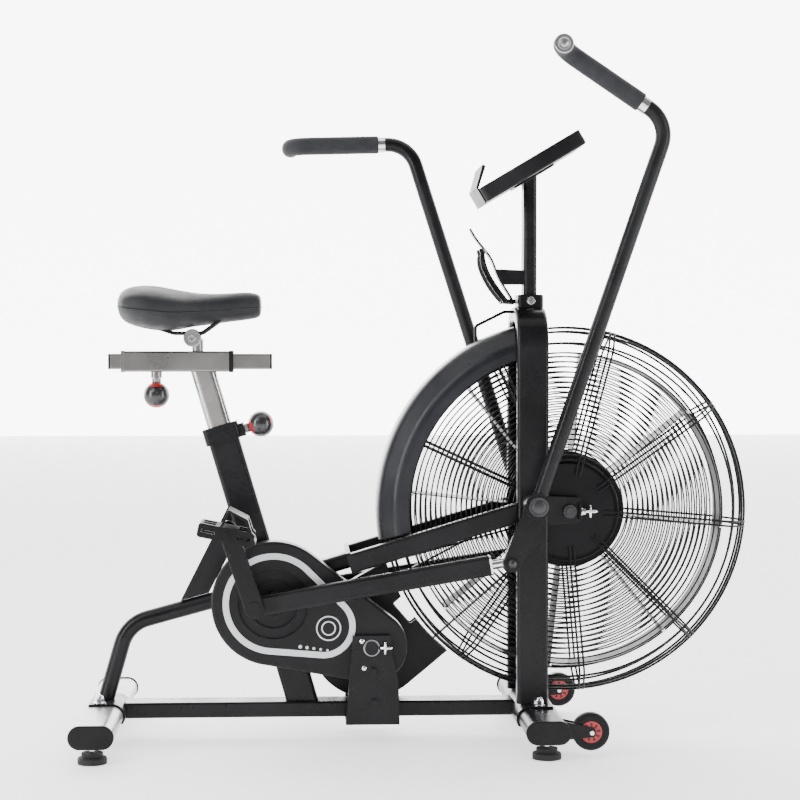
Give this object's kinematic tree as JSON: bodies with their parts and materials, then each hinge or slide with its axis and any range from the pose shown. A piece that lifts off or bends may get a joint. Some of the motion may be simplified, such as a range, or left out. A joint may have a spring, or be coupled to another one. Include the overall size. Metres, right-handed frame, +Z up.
{
  "type": "air bike",
  "caption": "Fan-braked exercise bike with a wire fan cage, swinging handles driven beside the pedals, an adjustable saddle, a console on a mast and transport wheels.",
  "frame": {"origin": "on the floor, under the middle of the bounding box", "axes": "+Z up, +X the way the rider faces, +Y to the rider's left"},
  "size_m": [1.2939, 0.536, 1.3288],
  "materials": {
    "frame_black": "satin powder coat",
    "foot_silver": "satin silver",
    "cap_black": "matte",
    "foot_rubber": "matte",
    "bright_steel": "polished",
    "bearing_steel": "satin",
    "console_plastic": "fine texture",
    "panel_plastic": "gloss",
    "screen_glass": "gloss",
    "holder_plastic": "satin",
    "cover_plastic": "satin",
    "cage_wire": "satin black",
    "fan_dark": "satin",
    "fan_sheet": "satin grey",
    "pedal_plastic": "matte",
    "grip_foam": "matte foam",
    "saddle_vinyl": "smooth vinyl",
    "knob_black": "satin",
    "wheel_rubber": "matte"
  },
  "bodies": {
    "frame": {"base_beam": "frame_black", "front_stabilizer": "frame_black", "seat_tube": "frame_black", "rear_stay": "frame_black", "front_stay": "frame_black", "upright_arch": "frame_black", "mast": "frame_black", "jack_stand": "frame_black", "wheel_brackets": "frame_black", "shroud_brace": "frame_black", "rear_stabilizer": "foot_silver", "stabilizer_caps": "cap_black", "foot_pads": "foot_rubber", "foot_screws": "bright_steel", "frame_bolts": "bright_steel", "pivot_shafts": "bright_steel", "fan_axle": "bright_steel", "drive_bearings": "bearing_steel", "drive_chains": "bearing_steel", "console_case": "console_plastic", "console_panel": "panel_plastic", "cover_inlays": "panel_plastic", "console_screen": "screen_glass", "bottle_holder": "holder_plastic", "right_chain_cover": "cover_plastic", "left_chain_cover": "cover_plastic", "shroud": "cover_plastic", "right_grille": "cage_wire", "left_grille": "cage_wire", "cage_perimeter": "cage_wire"},
    "seat_post": {"seat_post": "bearing_steel", "slider_sleeve": "bearing_steel", "slider_bushings": "cap_black"},
    "slider": {"slider_bar": "bearing_steel", "slider_plugs": "cap_black", "saddle_clamp": "bright_steel", "saddle_rails": "bright_steel", "saddle": "saddle_vinyl"},
    "height_knob": {"height_knob": "knob_black"},
    "slider_knob": {"slider_knob": "knob_black"},
    "crankset": {"chainring": "bearing_steel", "right_crank": "frame_black", "left_crank": "frame_black"},
    "right_pedal": {"right_pedal": "pedal_plastic"},
    "left_pedal": {"left_pedal": "pedal_plastic"},
    "right_rod": {"right_rod": "frame_black", "right_rod_end": "bright_steel"},
    "left_rod": {"left_rod": "frame_black", "left_rod_end": "bright_steel"},
    "jackshaft": {"jackshaft": "bearing_steel"},
    "fan": {"fan_hub": "fan_dark", "fan_blades": "fan_sheet"},
    "right_handle": {"right_handle": "frame_black", "right_grip": "grip_foam"},
    "left_handle": {"left_handle": "frame_black", "left_grip": "grip_foam"},
    "right_wheel": {"right_wheel": "wheel_rubber"},
    "left_wheel": {"left_wheel": "wheel_rubber"}
  },
  "joints": [
    {"name": "seat_height", "type": "slide", "parent": "frame", "child": "seat_post", "axis": [-0.2857, 0, 0.9583], "range_m": [-0.07, 0.12]},
    {"name": "saddle_slide", "type": "slide", "parent": "seat_post", "child": "slider", "axis": [1, 0, 0], "range_m": [-0.07, 0.025]},
    {"name": "height_pin", "type": "slide", "parent": "frame", "child": "height_knob", "axis": [0.9583, 0, 0.2857], "range_m": [0, 0.01], "stiffness_N_per_m": 800, "springref_m": -0.003},
    {"name": "slider_pin", "type": "slide", "parent": "seat_post", "child": "slider_knob", "axis": [0, 0, -1], "range_m": [0, 0.01], "stiffness_N_per_m": 800, "springref_m": -0.004},
    {"name": "crank_spin", "type": "hinge", "parent": "frame", "child": "crankset", "pos_m": [-0.277, 0, 0.269], "axis": [0, 1, 0], "continuous": true},
    {"name": "right_pedal_spin", "type": "hinge", "parent": "crankset", "child": "right_pedal", "pos_m": [-0.36174, 0, 0.41637], "axis": [0, 1, 0], "continuous": true},
    {"name": "left_pedal_spin", "type": "hinge", "parent": "crankset", "child": "left_pedal", "pos_m": [-0.19226, 0, 0.12163], "axis": [0, 1, 0], "continuous": true},
    {"name": "right_rod_hinge", "type": "hinge", "parent": "crankset", "child": "right_rod", "pos_m": [-0.312, 0, 0.269], "axis": [0, 1, 0], "continuous": true},
    {"name": "left_rod_hinge", "type": "hinge", "parent": "crankset", "child": "left_rod", "pos_m": [-0.242, 0, 0.269], "axis": [0, 1, 0], "continuous": true},
    {"name": "jackshaft_spin", "type": "hinge", "parent": "frame", "child": "jackshaft", "pos_m": [-0.0895, 0, 0.1843], "axis": [0, 1, 0], "continuous": true},
    {"name": "fan_spin", "type": "hinge", "parent": "frame", "child": "fan", "pos_m": [0.291, 0, 0.4445], "axis": [0, 1, 0], "continuous": true},
    {"name": "right_handle_swing", "type": "hinge", "parent": "frame", "child": "right_handle", "pos_m": [0.222, 0, 0.459], "axis": [0, 1, 0], "range_deg": [-35.4, 0]},
    {"name": "left_handle_swing", "type": "hinge", "parent": "frame", "child": "left_handle", "pos_m": [0.222, 0, 0.459], "axis": [0, 1, 0], "range_deg": [0, 35.4]},
    {"name": "right_wheel_roll", "type": "hinge", "parent": "frame", "child": "right_wheel", "pos_m": [0.311, 0, 0.048], "axis": [0, 1, 0], "continuous": true},
    {"name": "left_wheel_roll", "type": "hinge", "parent": "frame", "child": "left_wheel", "pos_m": [0.311, 0, 0.048], "axis": [0, 1, 0], "continuous": true}
  ],
  "couplings": [
    {"joint": "right_rod_hinge", "follows": "crank_spin", "ratio": -1},
    {"joint": "left_rod_hinge", "follows": "crank_spin", "ratio": -1},
    {"joint": "jackshaft_spin", "follows": "crank_spin", "ratio": 2.75},
    {"joint": "fan_spin", "follows": "crank_spin", "ratio": 8.4615},
    {"joint": "left_handle_swing", "follows": "right_handle_swing", "ratio": -1}
  ]
}
